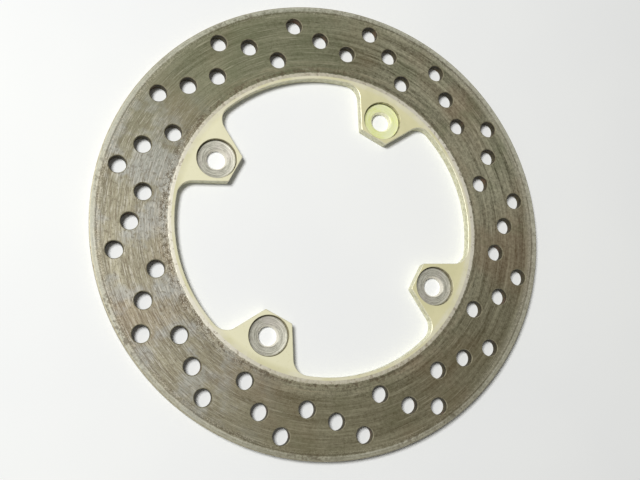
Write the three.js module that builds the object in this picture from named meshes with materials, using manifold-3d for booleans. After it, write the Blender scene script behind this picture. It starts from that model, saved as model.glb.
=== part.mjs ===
// Rear brake disc rotor of a motorcycle: a fixed, one-piece steel disc with four integral mounting lugs.
// Each lug is counterbored and holds a stepped bush that the hub bolt clamps on.
// Millimetres, +Z along the spin axis. The origin is the centre of the hub-side face.

import * as THREE from 'three';
import { mergeVertices } from 'three/addons/utils/BufferGeometryUtils.js';
import Module from 'manifold-3d';

const wasm = await Module();
wasm.setup();

// ---- Driving dimensions, in millimetres and degrees ----

const DISC = { radius: 110, thickness: 5, rimChamfer: 0.5 };

// The pad track: the swept ring, worn a little below the faces on both sides.
const TRACK = { innerRadius: 75.8, outerRadius: 107.4, wearDepth: 0.1 };

// The open middle, and the fillets where the lugs run out into its edge.
const WINDOW = { radius: 72.4, filletRadius: 7.5 };

// A lug is half a hexagon around its bolt hole: a flat tip and two flanks that open outwards.
const LUG = { angles: [90, 180, 270, 0], boltCircleRadius: 60.7, tipRadius: 50.6, tipHalfWidth: 7, flankAngle: 30 };

// The counterbore in a lug and the stepped bush in it. The bolt head sits on the flange, below the lug's face.
const SEAT = { radius: 9.5, recess: 2, flange: 1, sleeveRadius: 6.25, boreRadius: 4.5, boreChamfer: 0.5 };
const JOINT_GAP = 0.3;
const EDGE_BREAK = 0.2;

// Drilled vents: the same six in every sector, each at [degrees from the sector's start, radius].
const VENTS = {
  radius: 4,
  sectors: 8,
  pattern: [[0, 83.7], [7.5, 93.6], [15, 101.1], [21, 87.4], [30, 92.4], [37.5, 99.9]],
};

// How finely round shapes are faceted.
const SEGMENTS = { disc: 120, windowArc: 16, fillet: 6, vent: 16, seat: 32 };

// How far a cutter runs past the faces it cuts through.
const OVERRUN = 1;

// ---- Materials ----

const materials = {
  disc: new THREE.MeshStandardMaterial({ color: 0x8b8676, roughness: 0.42, metalness: 0.85 }),
  bareBush: new THREE.MeshStandardMaterial({ color: 0xa7a39b, roughness: 0.38, metalness: 0.9 }),
  yellowBush: new THREE.MeshStandardMaterial({ color: 0xd9dd8a, roughness: 0.3, metalness: 0.8 }),
};

// ---- Helpers ----

const radians = THREE.MathUtils.degToRad;

function polar(radius, angle) {
  return new THREE.Vector2(radius * Math.cos(angle), radius * Math.sin(angle));
}

// Points along an arc, both ends included.
function arc(centre, radius, from, to, segments) {
  const points = [];
  for (let i = 0; i <= segments; i += 1) {
    const angle = from + (to - from) * i / segments;
    points.push(polar(radius, angle).add(centre));
  }
  return points;
}

// A closed three.js geometry as a solid that can be cut.
function toSolid(geometry) {
  const bare = geometry.clone();
  bare.deleteAttribute('normal');
  bare.deleteAttribute('uv');
  const welded = mergeVertices(bare, 1e-4);
  return new wasm.Manifold(new wasm.Mesh({
    numProp: 3,
    vertProperties: new Float32Array(welded.attributes.position.array),
    triVerts: new Uint32Array(welded.index.array),
  }));
}

function toGeometry(solid) {
  const mesh = solid.getMesh();
  const geometry = new THREE.BufferGeometry();
  geometry.setAttribute('position', new THREE.BufferAttribute(mesh.vertProperties, 3));
  geometry.setIndex(new THREE.BufferAttribute(mesh.triVerts, 1));
  geometry.computeVertexNormals();
  return geometry;
}

// A turned solid: a closed profile of [radius, height] points, spun about Z.
function turned(profile, segments) {
  const points = [...profile, profile[0]].map(([radius, height]) => new THREE.Vector2(radius, height));
  return new THREE.LatheGeometry(points, segments).rotateX(Math.PI / 2);
}

// An upright round cutter at (x, y), from one height up to another.
function roundCutter(x, y, radius, from, to, segments) {
  const cylinder = new THREE.CylinderGeometry(radius, radius, to - from, segments);
  return toSolid(cylinder.rotateX(Math.PI / 2).translate(x, y, (from + to) / 2));
}

// ---- The disc ----

// The blank as it leaves the lathe: chamfered rim, and the worn track on both faces.
function turnedBlank() {
  const { radius, thickness, rimChamfer } = DISC;
  const { innerRadius, outerRadius, wearDepth } = TRACK;
  const bore = LUG.tipRadius - 2 * OVERRUN;
  return toSolid(turned([
    [bore, 0],
    [innerRadius, 0],
    [innerRadius, wearDepth],
    [outerRadius, wearDepth],
    [outerRadius, 0],
    [radius - rimChamfer, 0],
    [radius, rimChamfer],
    [radius, thickness - rimChamfer],
    [radius - rimChamfer, thickness],
    [outerRadius, thickness],
    [outerRadius, thickness - wearDepth],
    [innerRadius, thickness - wearDepth],
    [innerRadius, thickness],
    [bore, thickness],
  ], SEGMENTS.disc));
}

// Half of a lug's outline on +X, from its tip corner along the flank to the window's edge.
// The fillet touches the flank line and the window circle from inside.
function lugSide() {
  const flank = radians(LUG.flankAngle);
  const along = new THREE.Vector2(Math.cos(flank), Math.sin(flank));
  const outward = new THREE.Vector2(-Math.sin(flank), Math.cos(flank));
  const corner = new THREE.Vector2(LUG.tipRadius, LUG.tipHalfWidth);
  const start = corner.clone().addScaledVector(outward, WINDOW.filletRadius);
  const reach = WINDOW.radius - WINDOW.filletRadius;
  const run = -start.dot(along) + Math.sqrt(start.dot(along) ** 2 - start.lengthSq() + reach ** 2);
  const centre = start.addScaledVector(along, run);
  const fillet = arc(centre, WINDOW.filletRadius, flank - Math.PI / 2, centre.angle(), SEGMENTS.fillet);
  return { points: [corner, ...fillet], endAngle: centre.angle() };
}

// The window's outline, anticlockwise: for each lug its two sides, then the arc to the next lug.
function windowOutline() {
  const { points, endAngle } = lugSide();
  const mirrored = points.map((point) => new THREE.Vector2(point.x, -point.y)).reverse();
  const gap = Math.PI * 2 / LUG.angles.length;
  const origin = new THREE.Vector2();
  const link = arc(origin, WINDOW.radius, endAngle, gap - endAngle, SEGMENTS.windowArc).slice(1, -1);
  const quarter = [...mirrored, ...points, ...link];
  return LUG.angles.map((_, i) => i * gap)
    .flatMap((turn) => quarter.map((point) => point.clone().rotateAround(origin, turn)));
}

function windowCutter() {
  const depth = DISC.thickness + 2 * OVERRUN;
  const block = new THREE.ExtrudeGeometry(new THREE.Shape(windowOutline()), { depth, bevelEnabled: false });
  return toSolid(block.translate(0, 0, -OVERRUN));
}

function ventPlaces() {
  const places = [];
  for (let sector = 0; sector < VENTS.sectors; sector += 1) {
    for (const [degrees, radius] of VENTS.pattern) {
      places.push(polar(radius, radians(sector * 360 / VENTS.sectors + degrees)));
    }
  }
  return places;
}

function boltPlaces() {
  return LUG.angles.map((degrees) => polar(LUG.boltCircleRadius, radians(degrees)));
}

function brakeDisc() {
  const top = DISC.thickness + OVERRUN;
  const counterboreFloor = DISC.thickness - SEAT.recess - SEAT.flange - JOINT_GAP;
  let disc = turnedBlank().subtract(windowCutter());
  for (const { x, y } of ventPlaces()) {
    disc = disc.subtract(roundCutter(x, y, VENTS.radius, -OVERRUN, top, SEGMENTS.vent));
  }
  for (const { x, y } of boltPlaces()) {
    const sleeveHole = SEAT.sleeveRadius + JOINT_GAP;
    disc = disc.subtract(roundCutter(x, y, sleeveHole, -OVERRUN, top, SEGMENTS.seat));
    disc = disc.subtract(roundCutter(x, y, SEAT.radius, counterboreFloor, top, SEGMENTS.seat));
  }
  return toGeometry(disc);
}

// ---- The bushes ----

// A stepped bush on its own axis, its lower end at height 0, flush with the hub-side face.
function boltBush() {
  const top = DISC.thickness - SEAT.recess;
  const flangeRadius = SEAT.radius - JOINT_GAP;
  return turned([
    [SEAT.boreRadius, 0],
    [SEAT.sleeveRadius, 0],
    [SEAT.sleeveRadius, top - SEAT.flange],
    [flangeRadius, top - SEAT.flange],
    [flangeRadius, top - EDGE_BREAK],
    [flangeRadius - EDGE_BREAK, top],
    [SEAT.boreRadius + SEAT.boreChamfer, top],
    [SEAT.boreRadius, top - SEAT.boreChamfer],
  ], SEGMENTS.seat);
}

// ---- The assembly ----

const group = new THREE.Group();

function addPart(name, geometry, material) {
  const mesh = new THREE.Mesh(geometry, material);
  mesh.name = name;
  group.add(mesh);
  return mesh;
}

addPart('brake_disc', brakeDisc(), materials.disc);

boltPlaces().forEach(({ x, y }, i) => {
  const material = i === 0 ? materials.yellowBush : materials.bareBush;
  addPart(`bolt_bush_${i + 1}`, boltBush(), material).position.set(x, y, 0);
});

export default group;
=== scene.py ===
"""A used brake disc of a motorcycle, lying on a pale surface.

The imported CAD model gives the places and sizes. This script builds the fine surface around it:
the plate with its worn pad track, lips, pits, broken vent edges and counterbored lugs, and the
four turned bushes. Builders work in millimetres, in the CAD frame; meshes are stored in metres.
"""
import math
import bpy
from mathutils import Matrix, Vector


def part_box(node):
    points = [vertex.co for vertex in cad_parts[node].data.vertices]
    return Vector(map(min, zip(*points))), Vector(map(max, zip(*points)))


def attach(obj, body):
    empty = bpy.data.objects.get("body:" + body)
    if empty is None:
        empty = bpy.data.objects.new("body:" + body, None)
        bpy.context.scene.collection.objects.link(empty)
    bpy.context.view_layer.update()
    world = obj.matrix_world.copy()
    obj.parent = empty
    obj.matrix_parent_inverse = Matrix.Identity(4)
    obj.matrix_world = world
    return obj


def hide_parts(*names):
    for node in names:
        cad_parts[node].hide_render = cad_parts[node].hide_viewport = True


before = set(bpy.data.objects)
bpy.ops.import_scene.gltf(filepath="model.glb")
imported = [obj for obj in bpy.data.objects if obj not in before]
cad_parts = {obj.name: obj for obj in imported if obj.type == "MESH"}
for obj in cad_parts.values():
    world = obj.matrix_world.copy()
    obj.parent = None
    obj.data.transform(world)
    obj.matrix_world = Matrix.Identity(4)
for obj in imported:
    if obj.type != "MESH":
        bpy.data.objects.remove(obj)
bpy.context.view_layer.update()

from types import SimpleNamespace

import bpy
import numpy as np
from mathutils import Matrix, Vector, geometry, noise

MM = 0.001

# ---- Sizes taken from the frame, in millimetres ----

DISC_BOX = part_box("brake_disc")
DISC_RADIUS = DISC_BOX[1].x / MM
THICKNESS = DISC_BOX[1].z / MM
BUSHES = ["bolt_bush_1", "bolt_bush_2", "bolt_bush_3", "bolt_bush_4"]
YELLOW_BUSH = BUSHES[0]
BUSH_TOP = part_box(YELLOW_BUSH)[1].z / MM
FLANGE_RADIUS = (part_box(YELLOW_BUSH)[1].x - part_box(YELLOW_BUSH)[0].x) / 2 / MM


def bush_centre(name):
    low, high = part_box(name)
    return Vector(((low.x + high.x) / 2, (low.y + high.y) / 2)) / MM


# ---- Sizes that the CAD part gives inside its solids, in millimetres ----

TRACK_INNER, TRACK_OUTER, WEAR_DEPTH = 75.8, 107.4, 0.1
WINDOW_RADIUS, FILLET_RADIUS = 72.4, 7.5
LUG_TIP_RADIUS, LUG_TIP_HALF_WIDTH, FLANK_ANGLE = 50.6, 7.0, math.radians(30)
LUG_TURNS = [i * math.pi / 2 for i in range(4)]
SEAT_RADIUS, SEAT_FLOOR, SLEEVE_HOLE_RADIUS = 9.5, 1.7, 6.55
SLEEVE_RADIUS, FLANGE_THICKNESS, BORE_RADIUS = 6.25, 1.0, 4.5
VENT_RADIUS, VENT_SECTORS = 4.0, 8
VENT_PATTERN = [(0, 83.7), (7.5, 93.6), (15, 101.1), (21, 87.4), (30, 92.4), (37.5, 99.9)]

# ---- Finish of the real surface, in millimetres ----

COAT_EDGE = 73.9          # the cream coating ends here, and a bare strip follows up to the track
CORNER_ROUND = 0.9        # rounding of a lug's tip corners, seen from above
LIP_START = 103.8         # the worn track starts to rise to the unworn outer lip
GROOVE_DEPTH = 0.012      # round waves that the pads leave in the track
PIT_DEPTH = 0.11
RIM_BREAK = 0.5
VENT_BREAK = 0.4
WINDOW_BREAK = 0.3
SEAT_BREAK = 0.15
SEAT_CORNER = 0.15        # bevel between a counterbore's wall and floor
SEAT_DRAFT = 0.01         # how much narrower a counterbore is at its foot
SLEEVE_HOLE_BREAK = 0.3   # on the hub side
EDGE_SECTION = [(0, 1), (0.28, 0.28), (1, 0)]   # a broken edge: (inset, drop) as shares of its size
IMPRINT_RADIUS = 8.2      # the ring that the bolt's flange pressed into a bush

# ---- How finely outlines are drawn: points round a circle, or steps along a line ----

RIM_POINTS, SEAT_POINTS, VENT_POINTS, BUSH_POINTS = 720, 96, 48, 128
TIP_STEPS, FLANK_STEPS, FILLET_STEPS, WINDOW_STEPS = 6, 10, 20, 80


# ---- Outlines ----

def circle(centre, radius, count):
    turns = [i * math.tau / count for i in range(count)]
    return [(centre[0] + radius * math.cos(a), centre[1] + radius * math.sin(a)) for a in turns]


def arc(centre, radius, start, end, count):
    turns = [start + (end - start) * i / count for i in range(count + 1)]
    return [(centre[0] + radius * math.cos(a), centre[1] + radius * math.sin(a)) for a in turns]


def lug_side(inset):
    """One side of the lug on +X, from its tip's corner to the window's edge.

    The line is moved into the metal by inset. Gives its points and the angle where it meets the
    window's edge."""
    along = Vector((math.cos(FLANK_ANGLE), math.sin(FLANK_ANGLE)))
    outward = Vector((-along.y, along.x))
    corner = Vector((LUG_TIP_RADIUS, LUG_TIP_HALF_WIDTH))
    round_centre = corner + Vector((CORNER_ROUND, -CORNER_ROUND * (1 - along.y) / along.x))
    start = corner + outward * FILLET_RADIUS
    reach = WINDOW_RADIUS - FILLET_RADIUS
    slope = start.dot(along)
    run = -slope + math.sqrt(slope ** 2 - start.length_squared + reach ** 2)
    fillet_centre = start + along * run
    end_angle = math.atan2(fillet_centre.y, fillet_centre.x)
    tip = arc(round_centre, CORNER_ROUND - inset, math.pi, math.pi / 2 + FLANK_ANGLE, TIP_STEPS)
    fillet_start = FLANK_ANGLE - math.pi / 2
    fillet = arc(fillet_centre, FILLET_RADIUS + inset, fillet_start, end_angle, FILLET_STEPS)
    flank_start, flank_end = Vector(tip[-1]), Vector(fillet[0])
    steps = range(1, FLANK_STEPS)
    flank = [tuple(flank_start.lerp(flank_end, i / FLANK_STEPS)) for i in steps]
    return tip + flank + fillet, end_angle


def window_outline(inset):
    """The window's edge, anticlockwise, moved into the metal by inset."""
    side, end_angle = lug_side(inset)
    mirrored = [(x, -y) for x, y in reversed(side)]
    link_end = math.pi / 2 - end_angle
    link = arc((0, 0), WINDOW_RADIUS + inset, end_angle, link_end, WINDOW_STEPS)[1:-1]
    points = []
    for turn in LUG_TURNS:
        c, s = math.cos(turn), math.sin(turn)
        points += [(x * c - y * s, x * s + y * c) for x, y in mirrored + side + link]
    return points


def vent_centres():
    centres = []
    for sector in range(VENT_SECTORS):
        for degrees, radius in VENT_PATTERN:
            angle = math.radians(sector * 360 / VENT_SECTORS + degrees)
            centres.append((radius * math.cos(angle), radius * math.sin(angle)))
    return centres


VENTS = vent_centres()
BOLTS = [bush_centre(name) for name in BUSHES]


# ---- The worn surface ----

def smooth(x, low, high):
    t = min(max((x - low) / (high - low), 0), 1)
    return t * t * (3 - 2 * t)


def hump(x, centre, width):
    return math.exp(-((x - centre) / width) ** 2)


def rough(x, y, scale, layer):
    """Smooth noise about 0, scale features to a millimetre; each layer has a pattern of its own."""
    return noise.noise(Vector((x * scale, y * scale, layer)))


def wear(x, y, side):
    """How far a face lies below its unworn level at (x, y). side is 0 outside and 1 at the hub."""
    radius = math.hypot(x, y)
    layer = 40.0 * side
    ragged = rough(x, y, 0.55, layer) * 0.35
    step = smooth(radius + ragged, TRACK_INNER - 0.25, TRACK_INNER + 0.35)
    lip = smooth(radius + 0.6 * ragged, LIP_START, TRACK_OUTER + 0.4)
    worn = step * (1 - lip)
    depth = WEAR_DEPTH * worn + GROOVE_DEPTH * worn * rough(radius, 0, 1.3, layer)
    if radius > TRACK_INNER - 2:
        rust = hump(radius, TRACK_INNER + 0.8, 1.6) + 0.7 * hump(radius, TRACK_OUTER + 0.6, 1.5)
        pit = rough(x, y, 1.1, layer + 7) + 0.5 * rough(x, y, 2.3, layer)
        patch = 0.5 + 0.5 * rough(x, y, 0.035, layer + 3)
        depth += PIT_DEPTH * rust * patch * smooth(pit, 0.1, 0.55)
    return depth


# ---- The plate ----

def edge_loops(outline, size, label):
    """The loops of a broken edge, from the wall to its end on the face.

    Each is (points, drop at the outer face, drop at the hub side, label)."""
    return [(outline(size * inset), size * drop, size * drop, label) for inset, drop in EDGE_SECTION]


def seat_loops(centre):
    """A counterbore: its broken edge, its wall, its floor and the hole for the bush's sleeve."""
    deep = THICKNESS - SEAT_FLOOR
    section = [(SEAT_RADIUS + SEAT_BREAK * inset, SEAT_BREAK * drop, 0)
               for inset, drop in reversed(EDGE_SECTION)]
    section += [
        (SEAT_RADIUS - SEAT_DRAFT, deep - SEAT_CORNER, 0),
        (SEAT_RADIUS - SEAT_DRAFT - SEAT_CORNER, deep, 0),
        (SLEEVE_HOLE_RADIUS + SLEEVE_HOLE_BREAK, deep, 0),
        (SLEEVE_HOLE_RADIUS, deep, SLEEVE_HOLE_BREAK),
    ]
    return [(circle(centre, radius, SEAT_POINTS), drop, hub_drop, "seat")
            for radius, drop, hub_drop in section]


def plate_loops():
    def rim_outline(inset):
        return circle((0, 0), DISC_RADIUS - inset, RIM_POINTS)

    loops = edge_loops(rim_outline, RIM_BREAK, "rim")
    loops += edge_loops(window_outline, WINDOW_BREAK, "window")
    for centre in VENTS:
        def vent_outline(inset, centre=centre):
            return circle(centre, VENT_RADIUS + inset, VENT_POINTS)
        loops += edge_loops(vent_outline, VENT_BREAK, "vent")
    for centre in BOLTS:
        loops += seat_loops(centre)
    return loops


def face_grid():
    """Loose points that let the face follow its wear: dense along the track's two edges."""
    bands = [    # from radius, to radius, step outwards, spacing round
        (74.4, 78.6, 0.45, 0.5),
        (79.6, 104, 2.0, 1.8),
        (105, 109.1, 0.6, 0.9),
    ]
    clearance = VENT_RADIUS + VENT_BREAK + 0.3
    vents = np.array(VENTS)
    points = []
    for low, high, step, spacing in bands:
        for row, radius in enumerate(np.arange(low, high, step)):
            count = int(math.tau * radius / spacing)
            turns = (np.arange(count) + 0.5 * (row % 2)) * math.tau / count
            ring = np.c_[np.cos(turns), np.sin(turns)] * radius
            nearest = np.min(np.linalg.norm(ring[:, None] - vents[None], axis=2), axis=1)
            points += [tuple(p) for p in ring[nearest > clearance]]
    return points


def in_window(points):
    """Which points lie in the open window, told in the one eighth that every other one repeats."""
    quarter = math.pi / 2
    angle = np.mod(np.arctan2(points[:, 1], points[:, 0]), quarter)
    angle = np.minimum(angle, quarter - angle)
    radius = np.linalg.norm(points, axis=1)
    x, y = radius * np.cos(angle), radius * np.sin(angle)
    side, end_angle = lug_side(0)
    outline = [(0, 0), (LUG_TIP_RADIUS, 0)] + side
    past_diagonal = quarter / 2 + 0.02
    outline += arc((0, 0), WINDOW_RADIUS, end_angle, past_diagonal, WINDOW_STEPS)[1:]
    inside = np.zeros(len(points), bool)
    for (ax, ay), (bx, by) in zip(outline, outline[1:] + outline[:1]):
        crosses = (ay > y) != (by > y)
        rise = np.where(by == ay, 1e-12, by - ay)
        inside ^= crosses & (x < (bx - ax) * (y - ay) / rise + ax)
    return inside


def metal_triangles(corners, coordinates):
    """The triangles that are metal: not in the window, a vent or a sleeve hole, nor past the rim."""
    centres = coordinates[corners].mean(axis=1)
    keep = (np.linalg.norm(centres, axis=1) < DISC_RADIUS) & ~in_window(centres)
    just_inside = 0.999
    for holes, radius in ((VENTS, VENT_RADIUS), (BOLTS, SLEEVE_HOLE_RADIUS)):
        for hole in holes:
            distance = np.linalg.norm(centres - np.array(hole), axis=1)
            keep &= distance > radius * just_inside
    return corners[keep]


def plate_plan():
    """The plate seen from above as triangles.

    Gives (points, corners of the metal triangles, label of each point, its drops at the faces)."""
    points, edges, drops, labels = [], [], [], []
    for outline, drop, hub_drop, label in plate_loops():
        first = len(points)
        points += outline
        edges += [(first + i, first + (i + 1) % len(outline)) for i in range(len(outline))]
        drops += [(drop, hub_drop)] * len(outline)
        labels += [label] * len(outline)
    grid = face_grid()
    points += grid
    drops += [(0, 0)] * len(grid)
    labels += ["face"] * len(grid)

    places = [Vector(p) for p in points]
    plan, _, triangles, sources, _, _ = geometry.delaunay_2d_cdt(places, edges, [], 0, 1e-6)
    corners = metal_triangles(np.array(triangles), np.array([tuple(p) for p in plan]))
    source = [s[0] for s in sources]
    return plan, corners, [labels[s] for s in source], [drops[s] for s in source]


def plate_mesh(slots):
    """The plate: its outer and hub-side faces raised from one plan, and walls at the open edges."""
    plan, corners, labels, drops = plate_plan()
    count = len(plan)
    outer = [(p.x, p.y, THICKNESS - wear(p.x, p.y, 0) - drop) for p, (drop, _) in zip(plan, drops)]
    hub = [(p.x, p.y, wear(p.x, p.y, 1) + drop) for p, (_, drop) in zip(plan, drops)]
    faces, face_slots, open_edges = [], [], set()
    for a, b, c in corners.tolist():
        names = {labels[i] for i in (a, b, c)}
        label = names.pop() if len(names) == 1 else "face"
        faces += [(a, b, c), (count + a, count + c, count + b)]
        face_slots += [slots[label], slots["face" if label == "seat" else label]]
        for edge in ((a, b), (b, c), (c, a)):
            if edge[::-1] in open_edges:
                open_edges.remove(edge[::-1])
            else:
                open_edges.add(edge)
    for a, b in sorted(open_edges):
        faces.append((count + a, count + b, b, a))
        face_slots.append(slots[labels[a] + "_wall"])
    return outer + hub, faces, face_slots


# ---- Mesh objects ----

def make_piece(name, vertices, faces, materials, face_slots=None, sharp_degrees=14):
    mesh = bpy.data.meshes.new(name)
    mesh.from_pydata([tuple(c * MM for c in v) for v in vertices], [], faces)
    for material in materials:
        mesh.materials.append(material)
    if face_slots is not None:
        mesh.polygons.foreach_set("material_index", face_slots)
    mesh.polygons.foreach_set("use_smooth", [True] * len(mesh.polygons))
    mesh.set_sharp_from_angle(angle=math.radians(sharp_degrees))
    mesh.update()
    piece = bpy.data.objects.new(name, mesh)
    bpy.context.scene.collection.objects.link(piece)
    bpy.context.view_layer.update()
    return piece


def drop_loose(vertices, faces):
    """Keeps only the vertices that a face uses."""
    used = sorted({i for face in faces for i in face})
    place = {old: new for new, old in enumerate(used)}
    return [vertices[i] for i in used], [tuple(place[i] for i in face) for face in faces]


def lathe(profile, centre, count):
    """A closed profile of (radius, height) points spun about an upright axis through centre."""
    vertices, faces = [], []
    rows = len(profile)
    for i in range(count):
        c, s = math.cos(i * math.tau / count), math.sin(i * math.tau / count)
        vertices += [(centre[0] + r * c, centre[1] + r * s, z) for r, z in profile]
    for i in range(count):
        here, after = i * rows, (i + 1) % count * rows
        for j in range(rows):
            k = (j + 1) % rows
            faces.append((here + j, after + j, after + k, here + k))
    return vertices, faces


# ---- Shader formulas ----

def colour(red, green, blue):
    """A screen colour from 0 to 255 as the linear colour that shaders use."""
    def linear(value):
        value /= 255
        return value / 12.92 if value <= 0.04045 else ((value + 0.055) / 1.055) ** 2.4
    return linear(red), linear(green), linear(blue), 1.0


class Shader:
    """One material's nodes, so that a material reads as a list of formulas."""

    def __init__(self, name):
        self.material = bpy.data.materials.new(name)
        self.material.use_nodes = True
        self.tree = self.material.node_tree
        self.surface = self.tree.nodes["Principled BSDF"]
        self.position = self.node("ShaderNodeTexCoord").outputs["Object"]

    def node(self, kind, **settings):
        node = self.tree.nodes.new(kind)
        for key, value in settings.items():
            setattr(node, key, value)
        return node

    def feed(self, socket, value):
        if isinstance(value, bpy.types.NodeSocket):
            self.tree.links.new(value, socket)
        else:
            socket.default_value = value

    def math(self, operation, a, b=0.0, c=0.0, clamp=False):
        node = self.node("ShaderNodeMath", operation=operation, use_clamp=clamp)
        for socket, value in zip(node.inputs, (a, b, c)):
            self.feed(socket, value)
        return node.outputs[0]

    def times(self, product, *factors):
        for factor in factors:
            product = self.math("MULTIPLY", product, factor)
        return product

    def spread(self, value, low, high, to_low=0.0, to_high=1.0):
        """value from low..high, eased and clamped, as to_low..to_high."""
        node = self.node("ShaderNodeMapRange", interpolation_type="SMOOTHSTEP")
        for key, number in (("Value", value), ("From Min", low), ("From Max", high),
                            ("To Min", to_low), ("To Max", to_high)):
            self.feed(node.inputs[key], number)
        return node.outputs["Result"]

    def band(self, value, around, rise_from, rise_to, fall_from, fall_to):
        """A share that rises from 0 to 1 and falls back to 0, at distances counted from around."""
        rise = self.spread(value, around + rise_from, around + rise_to)
        return self.times(rise, self.spread(value, around + fall_to, around + fall_from))

    def mix(self, share, a, b):
        node = self.node("ShaderNodeMix", data_type="RGBA")
        self.feed(node.inputs["Factor"], share)
        self.feed(node.inputs["A"], a)
        self.feed(node.inputs["B"], b)
        return node.outputs["Result"]

    def noise(self, vector, scale, detail=3.0, roughness=0.55):
        """Scale is features to a metre of the position, or to one step of turned coordinates."""
        node = self.node("ShaderNodeTexNoise")
        self.feed(node.inputs["Vector"], vector)
        for key, value in (("Scale", scale), ("Detail", detail), ("Roughness", roughness)):
            node.inputs[key].default_value = value
        return node.outputs["Fac"]

    def combine(self, x, y, z):
        node = self.node("ShaderNodeCombineXYZ")
        for socket, value in zip(node.inputs, (x, y, z)):
            self.feed(socket, value)
        return node.outputs[0]

    def offset(self, x, y, z):
        """The place, moved by a fixed amount, so that two noises differ."""
        node = self.node("ShaderNodeVectorMath", operation="ADD")
        self.feed(node.inputs[0], self.position)
        node.inputs[1].default_value = (x, y, z)
        return node.outputs[0]

    def polar(self, centre=(0, 0)):
        """(radius in mm, direction x, direction y) about an upright axis through centre, in mm."""
        split = self.node("ShaderNodeSeparateXYZ")
        self.feed(split.inputs[0], self.position)
        x = self.math("SUBTRACT", split.outputs[0], centre[0] * MM)
        y = self.math("SUBTRACT", split.outputs[1], centre[1] * MM)
        squares = self.math("ADD", self.times(x, x), self.times(y, y))
        length = self.math("MAXIMUM", self.math("SQRT", squares), 1e-5)
        radius = self.math("DIVIDE", length, MM)
        return radius, self.math("DIVIDE", x, length), self.math("DIVIDE", y, length)

    def turned(self, polar, along, across):
        """Coordinates drawn out round the axis: along is detail per turn, across per mm of radius."""
        radius, x, y = polar
        return self.combine(self.times(x, along), self.times(y, along), self.times(radius, across))

    def facing(self, polar, degrees):
        """How much a place lies towards a direction from the axis, from -1 to 1."""
        angle = math.radians(degrees)
        across = self.times(polar[2], math.sin(angle))
        return self.math("MULTIPLY_ADD", polar[1], math.cos(angle), across)

    def bump(self, height, strength, distance):
        """Height from 0 to 1 as relief; distance is how deep that is, in metres."""
        node = self.node("ShaderNodeBump")
        self.feed(node.inputs["Height"], height)
        node.inputs["Strength"].default_value = strength
        node.inputs["Distance"].default_value = distance
        return node.outputs["Normal"]

    def finish(self, base, roughness, metallic, normal=None, specular=0.5):
        self.feed(self.surface.inputs["Base Color"], base)
        self.feed(self.surface.inputs["Roughness"], roughness)
        self.feed(self.surface.inputs["Metallic"], metallic)
        self.surface.inputs["Specular IOR Level"].default_value = specular
        if normal is not None:
            self.feed(self.surface.inputs["Normal"], normal)
        return self.material


# ---- The plate's faces ----

# Directions round the disc, in degrees from +X, where a film, wear, a painted shade, a painted light
# or a painted sheen is strongest. An axis is a direction that counts both ways.
OLIVE_SIDE, WEATHERED_SIDE, RUST_AND_LIT_SIDE, BROWN_AND_SHADED_SIDE, PALE_RIM_SIDE = 152, 222, 225, 318, 35
GRIT_AXIS, SHINE_AXIS = 40, 45


def face_patterns(s, place):
    """The noises that the face's layers share, from the finest grain to the widest stain."""
    return SimpleNamespace(
        grain=s.noise(s.position, 2300, 3, 0.7),
        mottle=s.noise(s.position, 620, 4, 0.65),
        blotch=s.noise(s.offset(0, 0.07, 0), 480, 4, 0.65),
        cloud=s.noise(s.position, 55, 4, 0.6),
        stain=s.noise(s.offset(0.31, 0.12, 0), 21, 3, 0.55),
        lines=s.noise(s.turned(place, 2.4, 0.62), 1.0, 5, 0.78),
        bands=s.noise(s.turned(place, 0.9, 0.16), 1.0, 3, 0.6),
    )


def worn_steel(s, place, pattern):
    """Pad-worn steel: grain, round scratches, the pads' olive film, and a brown film darker towards
    one side that is partly the pads' film and partly painted shade.
    """
    parts = ((pattern.grain, 1.2), (pattern.mottle, 1.1), (pattern.lines, 2.1), (pattern.bands, 1.0))
    tone = 0.5 - 0.5 * sum(weight for _, weight in parts)
    for value, weight in parts:
        tone = s.math("MULTIPLY_ADD", value, weight, tone)
    tone = s.math("MAXIMUM", tone, 0.0, clamp=True)
    steel = s.mix(tone, colour(84, 80, 59), colour(188, 185, 160))
    steel = s.mix(s.spread(pattern.stain, 0.46, 0.66, 0, 0.3), steel, colour(146, 112, 86))
    steel = s.mix(s.spread(pattern.cloud, 0.46, 0.68, 0, 0.36), steel, colour(116, 122, 92))
    # A brown film towards one side, darker there: partly the pads' film and partly painted shade.
    brown = s.times(s.spread(s.facing(place, BROWN_AND_SHADED_SIDE), 0.2, 0.95),
                    s.spread(place[0], TRACK_INNER + 1.2, TRACK_INNER + 10.2, 0.2, 0.55))
    steel = s.mix(brown, steel, colour(104, 96, 70))
    olive = s.times(s.spread(s.facing(place, OLIVE_SIDE), 0.4, 0.95), 0.55)
    steel = s.mix(olive, steel, colour(104, 108, 80))
    scratches = s.spread(s.noise(s.turned(place, 5.5, 1.9), 1.0, 3, 0.6), 0.57, 0.7, 0, 0.3)
    return s.mix(scratches, steel, colour(204, 198, 176))


def weathered_steel(s, place, pattern, weathered, steel):
    """The side that has lost its film: paler, with light and dark streaks and dark specks."""
    streaks = s.noise(s.turned(place, 15, 2.3), 1.0, 3, 0.7)
    steel = s.mix(s.times(weathered, 0.3), steel, colour(160, 150, 134))
    pale = s.times(weathered, s.spread(pattern.cloud, 0.44, 0.58, 0, 0.5))
    steel = s.mix(pale, steel, colour(178, 181, 182))
    light = s.times(weathered, s.spread(streaks, 0.52, 0.64, 0, 0.6))
    steel = s.mix(light, steel, colour(206, 202, 190))
    dark = s.times(weathered, s.spread(streaks, 0.48, 0.36, 0, 0.6))
    steel = s.mix(dark, steel, colour(112, 98, 80))
    specks = s.times(weathered, s.spread(pattern.mottle, 0.56, 0.63, 0, 0.5))
    return s.mix(specks, steel, colour(108, 98, 82))


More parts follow.
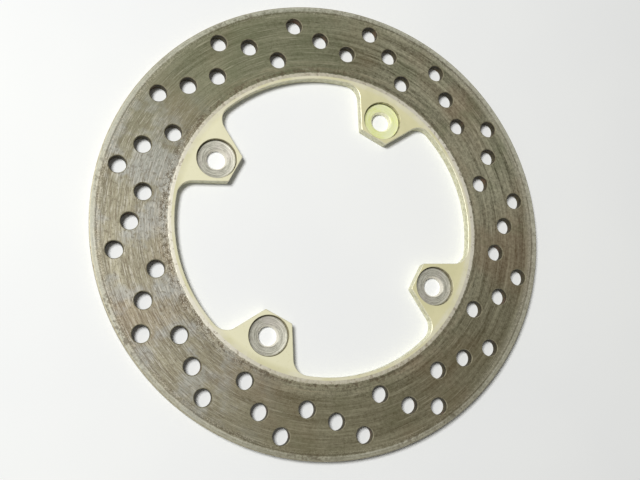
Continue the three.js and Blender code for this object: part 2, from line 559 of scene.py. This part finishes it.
def outer_lip(s, place, pattern, ragged, steel):
    """The unworn lip outside the track. Gives its share and the steel with the lip on it."""
    radius = place[0]
    wander = s.math("MULTIPLY_ADD", pattern.grain, 3.0, -3.5)
    wander = s.math("MULTIPLY_ADD", pattern.mottle, 4.0, wander)
    lip = s.spread(s.math("ADD", radius, wander), TRACK_OUTER - 0.8, TRACK_OUTER + 2.5)
    # The lip is drawn less pale towards the brown side: partly painted shade.
    pale = s.times(lip, s.spread(s.facing(place, BROWN_AND_SHADED_SIDE), 0.0, 0.9, 0.9, 0.45))
    steel = s.mix(pale, steel, colour(198, 198, 182))
    paler = s.times(s.spread(s.facing(place, PALE_RIM_SIDE), 0.35, 0.95),
                    s.spread(radius, TRACK_OUTER - 4.4, TRACK_OUTER - 0.4), 0.3)
    steel = s.mix(paler, steel, colour(214, 212, 194))
    along_axis = s.math("ABSOLUTE", s.facing(place, GRIT_AXIS))
    grit = s.times(s.band(radius, TRACK_OUTER, -2.8, -1.0, 0.0, 1.6),
                   s.spread(pattern.grain, 0.52, 0.62), s.spread(along_axis, 0.3, 0.9, 0.35, 1.0))
    steel = s.mix(s.times(grit, 0.7), steel, colour(212, 204, 186))

    edge = s.math("MULTIPLY_ADD", ragged, 0.35, radius)
    foot = s.times(s.band(edge, TRACK_OUTER, -0.8, -0.3, -0.2, 0.3),
                   s.spread(pattern.cloud, 0.35, 0.55, 0.1, 0.5))
    steel = s.mix(foot, steel, colour(84, 78, 56))
    crest = s.times(s.band(edge, TRACK_OUTER, 0.1, 0.5, 0.7, 1.2),
                    s.spread(pattern.cloud, 0.35, 0.6, 0.5, 0.15))
    return lip, s.mix(crest, steel, colour(214, 213, 198))


def pitting(s, place, pattern, weathered):
    """Shares of the band along the track's inner edge and of the pits at both of its edges."""
    radius = place[0]
    reach = s.math("MULTIPLY_ADD", weathered, -1.3, radius)
    inner = s.times(s.spread(radius, TRACK_INNER - 1.0, TRACK_INNER + 0.6),
                    s.spread(reach, TRACK_INNER + 3.8, TRACK_INNER + 0.8))
    outer = s.times(s.spread(radius, TRACK_OUTER - 1.4, TRACK_OUTER + 0.4),
                    s.spread(pattern.stain, 0.42, 0.6))
    both = s.math("ADD", inner, s.times(outer, 0.8), clamp=True)
    return inner, s.times(both, s.spread(pattern.blotch, 0.5, 0.58))


def rusted(s, place, pattern, ragged, weathered, inner, pits, steel):
    """Rust in the pits, bright flakes among them, a thin dark line and a faint brown bloom."""
    # The same side also carries the coat's painted light below; here it sets where the pits are
    # rustier.
    in_pits = s.times(pits, s.spread(s.facing(place, RUST_AND_LIT_SIDE), -0.8, 0.3, 0.35, 0.8))
    steel = s.mix(in_pits, steel, colour(98, 88, 70))
    flakes = s.times(inner, weathered, s.spread(pattern.grain, 0.53, 0.62), 0.7)
    steel = s.mix(flakes, steel, colour(222, 218, 204))
    edge = s.math("ADD", place[0], ragged)
    line = s.times(s.band(edge, TRACK_INNER, 0.1, 0.6, 1.0, 1.5), 0.15)
    steel = s.mix(line, steel, colour(104, 84, 60))
    bloom = s.times(s.band(place[0], TRACK_INNER, 0.2, 1.7, 2.7, 8.2),
                    s.spread(pattern.lines, 0.48, 0.62, 0, 0.18))
    return s.mix(bloom, steel, colour(134, 104, 76))


def bare_strip(s, place, pattern):
    """The ground strip between coating and track, with a painted sheen that makes it brightest along
    one axis, and a few stains.
    """
    strip = s.mix(s.spread(pattern.mottle, 0.35, 0.7), colour(208, 203, 186), colour(186, 180, 158))
    # Painted sheen: the strip is drawn brighter along one axis, as light catches ground metal.
    shine = s.spread(s.math("ABSOLUTE", s.facing(place, SHINE_AXIS)), 0.5, 0.95, 0, 0.7)
    strip = s.mix(shine, strip, colour(236, 232, 218))
    return s.mix(s.spread(pattern.blotch, 0.56, 0.64, 0, 0.6), strip, colour(140, 126, 104))


def cream_coat(s, place, pattern):
    """The coating: cloudy cream, greyer on the ring than on the lugs, and on one side's lugs drawn
    lighter as painted light, as where the lamp's light falls.
    """
    on_ring = s.spread(place[0], WINDOW_RADIUS - 1.9, WINDOW_RADIUS + 0.4)
    coat = s.mix(on_ring, colour(218, 213, 172), colour(220, 216, 192))
    coat = s.mix(s.spread(pattern.cloud, 0.38, 0.62, 0, 0.8), coat, colour(208, 204, 162))
    # Painted light: the coat on the lugs is drawn lighter towards one side, as where the lamp's light
    # falls.
    lighter = s.times(s.spread(s.facing(place, RUST_AND_LIT_SIDE), -0.6, 0.7, 0, 0.75),
                      s.spread(place[0], WINDOW_RADIUS + 1.0, WINDOW_RADIUS - 2.4))
    coat = s.mix(lighter, coat, colour(232, 229, 200))
    return s.mix(s.spread(pattern.mottle, 0.56, 0.68, 0, 0.22), coat, colour(196, 192, 150))


def face_material():
    """The plate's faces, by radius: coating, bare strip, pitted edge, worn track and outer lip."""
    s = Shader("disc_faces")
    place = s.polar()
    radius = place[0]
    pattern = face_patterns(s, place)
    ragged = s.math("MULTIPLY_ADD", s.noise(s.position, 900), 1.2, -0.6)
    weathered = s.spread(s.facing(place, WEATHERED_SIDE), 0.42, 0.97)
    inner, pits = pitting(s, place, pattern, weathered)

    steel = worn_steel(s, place, pattern)
    steel = weathered_steel(s, place, pattern, weathered, steel)
    lip, steel = outer_lip(s, place, pattern, ragged, steel)
    steel = rusted(s, place, pattern, ragged, weathered, inner, pits, steel)

    coat_end = s.math("MULTIPLY_ADD", ragged, 0.3, radius)
    on_strip = s.spread(coat_end, COAT_EDGE - 0.12, COAT_EDGE + 0.12)
    on_track = s.spread(s.math("ADD", radius, ragged), TRACK_INNER - 0.45, TRACK_INNER + 0.05)
    inside = s.mix(on_strip, cream_coat(s, place, pattern), bare_strip(s, place, pattern))
    base = s.mix(on_track, inside, steel)

    bare = s.math("MULTIPLY_ADD", on_track, 0.35, s.times(on_strip, 0.3))
    metallic = s.math("MULTIPLY_ADD", lip, -0.15, bare)
    coated = s.times(s.math("SUBTRACT", 1.0, on_track), 0.46)
    worn = s.times(on_track, s.spread(pattern.mottle, 0.3, 0.7, 0.52, 0.68))
    roughness = s.math("ADD", coated, worn)

    scratch = s.times(on_track, s.math("ADD", pattern.lines, s.times(pattern.bands, 0.4)))
    fine = s.times(s.math("ADD", pattern.grain, pattern.mottle), 0.3)
    relief = s.math("SUBTRACT", s.math("ADD", scratch, fine), s.times(pits, 0.9))
    return s.finish(base, roughness, metallic, s.bump(relief, 0.5, 0.00012))


# ---- Other materials ----

def rim_material():
    """The disc's outer wall: turned steel with lines round it and a few rust spots."""
    s = Shader("disc_rim")
    streak = s.noise(s.turned(s.polar(), 60, 3), 1.0, 4, 0.65)
    base = s.mix(s.spread(streak, 0.3, 0.7), colour(198, 193, 170), colour(156, 149, 124))
    rust = s.spread(s.noise(s.position, 380, 3), 0.6, 0.72, 0, 0.5)
    base = s.mix(rust, base, colour(112, 92, 66))
    return s.finish(base, 0.5, 0.5, s.bump(streak, 0.4, 0.0001))


def window_edge_material():
    """The rounded edge of the window and lugs, where the cream coating is rubbed bright."""
    s = Shader("disc_window_edge")
    rubbed = s.noise(s.position, 420, 3)
    base = s.mix(s.spread(rubbed, 0.35, 0.7), colour(230, 227, 202), colour(206, 202, 172))
    return s.finish(base, 0.36, 0.25, s.bump(rubbed, 0.3, 0.0001))


def window_wall_material():
    """The wall of the window and lugs: thin coating over a rough break."""
    s = Shader("disc_window_wall")
    mottle = s.noise(s.position, 500, 4, 0.6)
    base = s.mix(s.spread(mottle, 0.35, 0.68), colour(228, 226, 198), colour(196, 194, 160))
    return s.finish(base, 0.5, 0.2, s.bump(mottle, 0.45, 0.00015))


def vent_wall_material():
    """The drilled walls: dark with soot, with patches of rust."""
    s = Shader("disc_vent_wall")
    soot = s.noise(s.position, 260, 4, 0.6)
    base = s.mix(s.spread(soot, 0.35, 0.65), colour(56, 50, 33), colour(88, 80, 55))
    rust = s.spread(s.noise(s.offset(0.2, 0, 0), 150, 3), 0.55, 0.7, 0, 0.6)
    base = s.mix(rust, base, colour(132, 100, 78))
    return s.finish(base, 0.62, 0.1, s.bump(soot, 0.5, 0.0002), specular=0.25)


def vent_edge_material():
    """The broken edge of a vent, rubbed a little lighter than its wall."""
    s = Shader("disc_vent_edge")
    rubbed = s.noise(s.position, 500, 3)
    base = s.mix(s.spread(rubbed, 0.35, 0.7), colour(142, 137, 114), colour(104, 97, 74))
    return s.finish(base, 0.65, 0.3)


def seat_material():
    """The counterbore round a bush: cut steel, dulled."""
    s = Shader("disc_counterbore")
    mottle = s.noise(s.position, 500, 3)
    base = s.mix(s.spread(mottle, 0.35, 0.7), colour(206, 201, 172), colour(164, 157, 128))
    return s.finish(base, 0.5, 0.3, s.bump(mottle, 0.3, 0.0001))


def bush_material(name, centre, finish):
    """Turned metal: fine rings round the bolt hole, scuffs, a faint tint and a paler bore."""
    s = Shader(name)
    place = s.polar(centre)
    rings = s.noise(s.turned(place, 1.2, 3.2), 1.0, 4, 0.7)
    scuff = s.noise(s.position, 380, 4, 0.65)
    base = s.mix(s.spread(rings, 0.36, 0.62), finish.light, finish.dark)
    tint = s.spread(s.noise(s.offset(0.05, 0.02, 0), 120, 2), 0.45, 0.7, 0, 0.5)
    base = s.mix(tint, base, finish.tint)
    base = s.mix(s.spread(scuff, 0.54, 0.66, 0, 0.55), base, finish.dark)
    base = s.mix(s.spread(scuff, 0.46, 0.34, 0, 0.45), base, finish.light)
    in_bore = s.spread(place[0], BORE_RADIUS + 0.8, BORE_RADIUS + 0.5)
    base = s.mix(in_bore, base, s.mix(0.5, finish.light, colour(244, 238, 226)))
    bore_metallic = 0.15
    metallic = s.math("MULTIPLY_ADD", in_bore, bore_metallic - finish.metallic, finish.metallic)
    roughness = s.spread(scuff, 0.4, 0.7, finish.roughness, finish.roughness + 0.15)
    relief = s.math("ADD", rings, s.times(scuff, 0.5))
    return s.finish(base, roughness, metallic, s.bump(relief, 0.5, 0.0001))


def floor_material():
    s = Shader("pale_surface")
    tone = s.spread(s.noise(s.position, 6, 3), 0.35, 0.65)
    base = s.mix(tone, colour(243, 245, 246), colour(240, 242, 244))
    return s.finish(base, 0.7, 0.0, specular=0.2)


# ---- The pieces ----

def build_plate():
    rim, seat = rim_material(), seat_material()
    looks = {
        "face": face_material(),
        "rim": rim,
        "rim_wall": rim,
        "window": window_edge_material(),
        "window_wall": window_wall_material(),
        "vent": vent_edge_material(),
        "vent_wall": vent_wall_material(),
        "seat": seat,
        "seat_wall": seat,
    }
    slots = {name: i for i, name in enumerate(looks)}
    vertices, faces, face_slots = plate_mesh(slots)
    vertices, faces = drop_loose(vertices, faces)
    plate = make_piece("disc_plate", vertices, faces, looks.values(), face_slots)
    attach(plate, "root")
    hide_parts("brake_disc")


def bush_profile():
    """The bush's section, from the bore's foot round the sleeve and flange to the dished face."""
    top, flange, imprint, bore = BUSH_TOP, FLANGE_RADIUS, IMPRINT_RADIUS, BORE_RADIUS
    under = top - FLANGE_THICKNESS
    sleeve = [(bore + 0.25, 0), (SLEEVE_RADIUS - 0.2, 0), (SLEEVE_RADIUS, 0.2), (SLEEVE_RADIUS, under)]
    rim = [(flange - 0.1, under), (flange, under + 0.1), (flange, top - 0.22),
           (flange - 0.07, top - 0.07), (flange - 0.22, top)]
    dish = [(imprint + 0.2, top - 0.02), (imprint + 0.05, top - 0.06), (imprint - 0.25, top - 0.08),
            (bore + 1.6, top - 0.25), (bore + 1.45, top - 0.25), (bore + 0.85, top - 0.31)]
    chamfer = [(bore + 0.72, top - 0.38), (bore + 0.08, top - 1.1), (bore, top - 1.25)]
    return sleeve + rim + dish + chamfer + [(bore, 0.25)]


STEEL_FINISH = SimpleNamespace(
    slot="bush_steel", light=colour(222, 221, 208), dark=colour(156, 154, 141),
    tint=colour(204, 196, 190), roughness=0.42, metallic=0.48)
YELLOW_FINISH = SimpleNamespace(
    slot="bush_yellow_zinc", light=colour(251, 254, 208), dark=colour(234, 241, 160),
    tint=colour(246, 250, 222), roughness=0.28, metallic=0.2)


def build_bushes():
    for name in BUSHES:
        centre = bush_centre(name)
        finish = YELLOW_FINISH if name == YELLOW_BUSH else STEEL_FINISH
        material = bush_material(name + "_metal", centre, finish)
        vertices, faces = lathe(bush_profile(), centre, BUSH_POINTS)
        bush = make_piece("seat_" + name, vertices, faces, [material], sharp_degrees=20)
        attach(bush, "root")
        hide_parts(name)


FLOOR_HALF = 4.0         # metres
FLOOR_GAP = 0.00003      # metres below the disc, so that no two faces share a plane


def build_floor():
    half = FLOOR_HALF / MM
    corners = [(-half, -half, 0), (half, -half, 0), (half, half, 0), (-half, half, 0)]
    floor = make_piece("floor", corners, [(0, 1, 2, 3)], [floor_material()])
    floor.location.z = -FLOOR_GAP


# ---- Camera and light ----

VIEW_FROM = math.radians(246.1)      # where the camera stands round the disc, from +X
VIEW_TILT = math.radians(19.56)      # how far it leans from straight above
VIEW_DISTANCE = 0.4091
VIEW_AIM = Vector((0.00095, -0.00767, 0.0))
VIEW_RIGHT = math.radians(27.56)     # the floor's direction that runs to the right in the picture
FOCAL_LENGTH, SENSOR_WIDTH = 47.8, 36.0


def from_above(turn, tilt, distance):
    """A point at that distance from the origin, leaning by tilt from straight above to turn."""
    flat = math.sin(tilt)
    return Vector((flat * math.cos(turn), flat * math.sin(turn), math.cos(tilt))) * distance


def build_camera():
    data = bpy.data.cameras.new("camera")
    data.lens, data.sensor_width = FOCAL_LENGTH, SENSOR_WIDTH
    data.clip_start, data.clip_end = 0.01, 20
    camera = bpy.data.objects.new("camera", data)
    bpy.context.scene.collection.objects.link(camera)
    place = from_above(VIEW_FROM, VIEW_TILT, VIEW_DISTANCE)
    back = (place - VIEW_AIM).normalized()
    up = Vector((-math.sin(VIEW_RIGHT), math.cos(VIEW_RIGHT), 0))
    right = up.cross(back).normalized()
    axes = Matrix((right, back.cross(right), back)).transposed()
    camera.matrix_world = Matrix.Translation(place) @ axes.to_4x4()
    bpy.context.scene.camera = camera


def build_light(name, turn, tilt, distance, size, watts, tint):
    """A round lamp that shines at the origin: turn and tilt in degrees, lengths in metres."""
    data = bpy.data.lights.new(name, "AREA")
    data.shape = "DISK"
    data.size, data.energy, data.color = size, watts, tint
    light = bpy.data.objects.new(name, data)
    bpy.context.scene.collection.objects.link(light)
    light.location = from_above(math.radians(turn), math.radians(tilt), distance)
    light.rotation_mode = "QUATERNION"
    light.rotation_quaternion = light.location.to_track_quat("Z", "Y")


def build_world(tint, strength):
    world = bpy.data.worlds.new("room")
    bpy.context.scene.world = world
    world.use_nodes = True
    background = world.node_tree.nodes["Background"]
    background.inputs["Color"].default_value = tint
    background.inputs["Strength"].default_value = strength


build_camera()
build_light("window_light", turn=189, tilt=29, distance=1.5, size=0.48, watts=20.9,
            tint=(1.0, 0.992, 0.97))
build_world(colour(244, 242, 234), 0.18)
build_floor()
build_plate()
build_bushes()
bpy.context.scene.view_settings.view_transform = "Standard"
